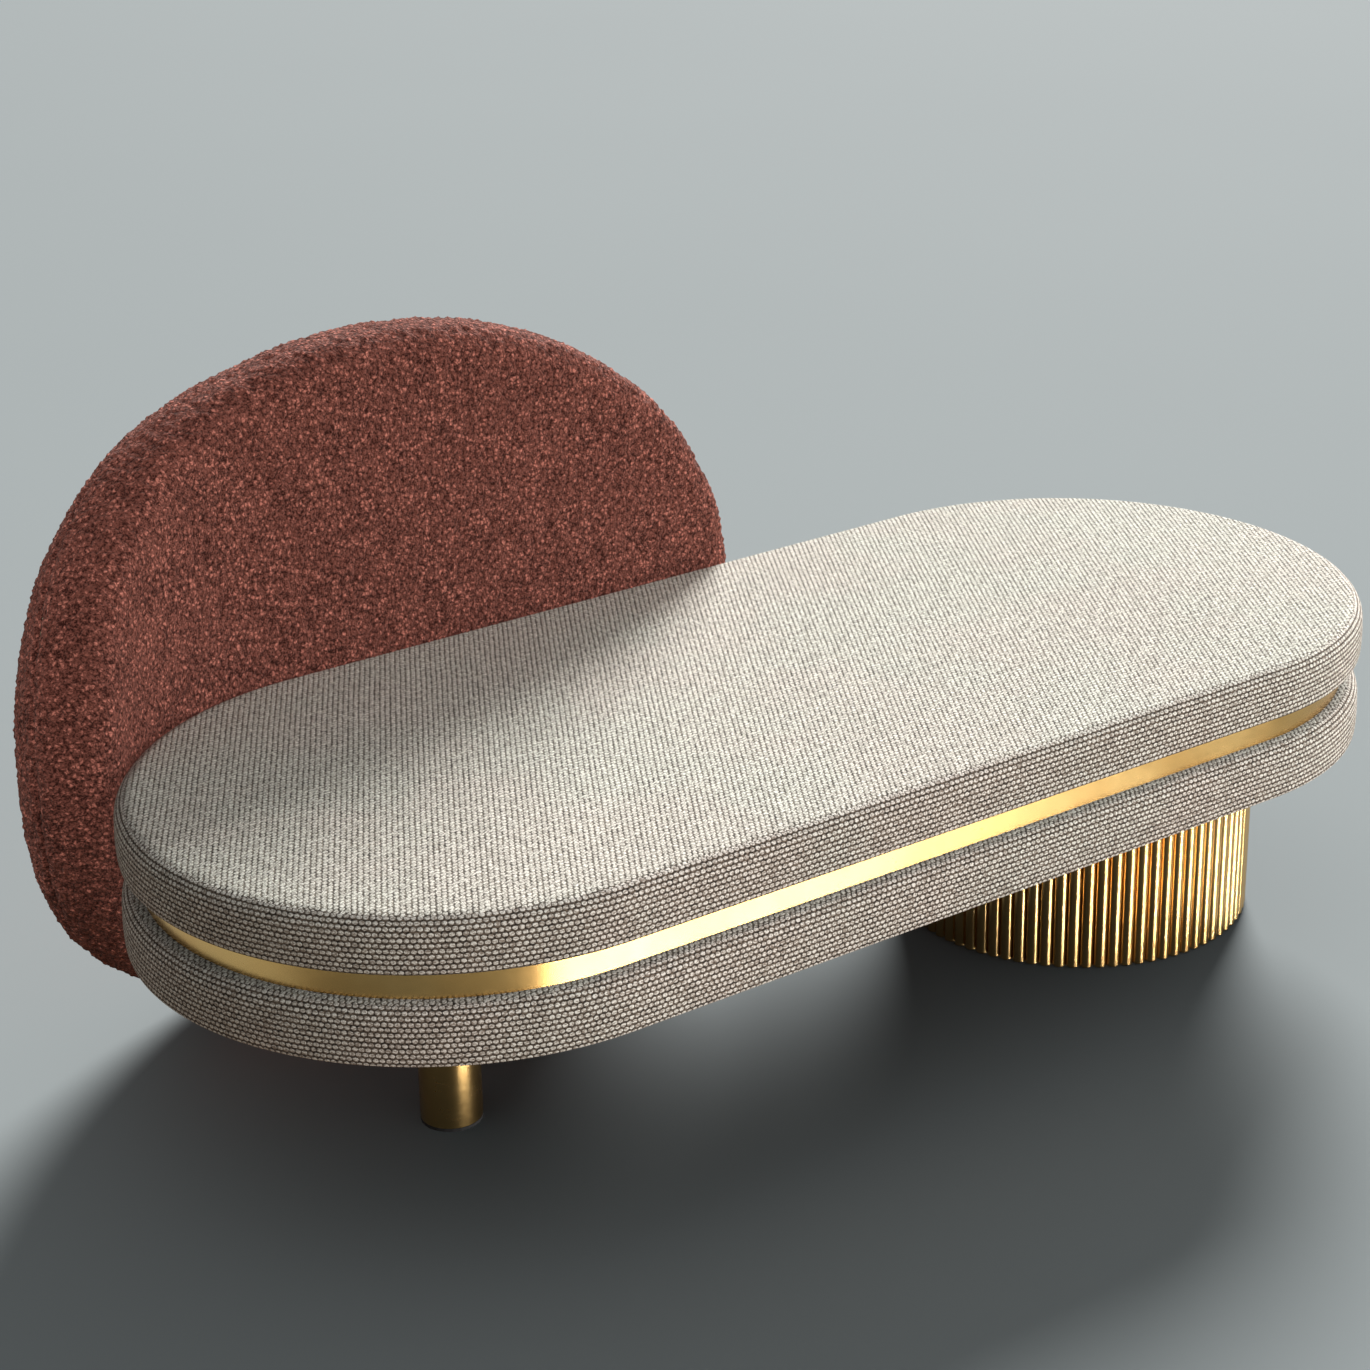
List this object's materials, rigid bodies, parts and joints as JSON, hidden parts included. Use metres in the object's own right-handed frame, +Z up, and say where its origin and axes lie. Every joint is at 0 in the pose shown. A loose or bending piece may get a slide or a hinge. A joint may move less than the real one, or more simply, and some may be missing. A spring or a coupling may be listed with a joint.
{
  "type": "chaise longue",
  "caption": "Armless chaise longue: two stadium-shaped pads with a brass band between them, a round leg, a fluted drum and a thick curved backrest.",
  "frame": {"origin": "on the floor, under the middle of the pads' length and of the whole depth with the backrest", "axes": "+X along the length from the leg to the drum, +Y from the open front to the backrest, +Z up"},
  "size_m": [1.7529, 0.8946, 0.857],
  "materials": {
    "woven_cover": "taupe and ivory ribbed weave",
    "boucle": "rust boucle loops",
    "foam": "cut polyurethane foam",
    "lining_cloth": "black non-woven cloth",
    "felt": "pressed felt",
    "plywood": "sanded birch plywood",
    "timber": "planed hardwood",
    "satin_brass": "satin brass",
    "fluted_brass": "polished brass, vertical half-round ribs",
    "black_steel": "black powder coat",
    "zinc_steel": "zinc plated",
    "black_paint": "black stained wood",
    "black_nylon": "moulded nylon"
  },
  "bodies": {
    "root": {"seat_top_cover": "woven_cover", "seat_side_cover": "woven_cover", "seat_foam": "foam", "seat_deck": "plywood", "seat_lining": "lining_cloth", "seat_bolts": "zinc_steel", "seat_tee_nuts": "zinc_steel", "band_core": "plywood", "band_cross_bars": "timber", "brass_band": "satin_brass", "base_top_cover": "woven_cover", "base_side_cover": "woven_cover", "base_foam": "foam", "base_top_board": "plywood", "base_bottom_board": "plywood", "base_rim": "plywood", "base_long_rails": "timber", "base_cross_rails": "timber", "dust_cover": "lining_cloth", "leg_plate": "black_steel", "leg_tube": "satin_brass", "leg_foot": "black_nylon", "leg_bolts": "zinc_steel", "leg_tee_nuts": "zinc_steel", "drum_skin": "fluted_brass", "drum_core": "plywood", "drum_top_board": "plywood", "drum_bottom_board": "plywood", "drum_glides": "felt", "drum_bolts": "zinc_steel", "drum_tee_nuts": "zinc_steel", "back_front_cover": "boucle", "back_rear_cover": "boucle", "back_front_foam": "foam", "back_rear_foam": "foam", "back_shell": "plywood", "back_blocks": "timber", "back_plinth": "black_paint", "back_brackets": "black_steel", "back_bolts": "zinc_steel", "bracket_screws": "zinc_steel", "tie_plates": "black_steel", "tie_screws": "zinc_steel", "tie_bolts": "zinc_steel"}
  },
  "joints": []
}
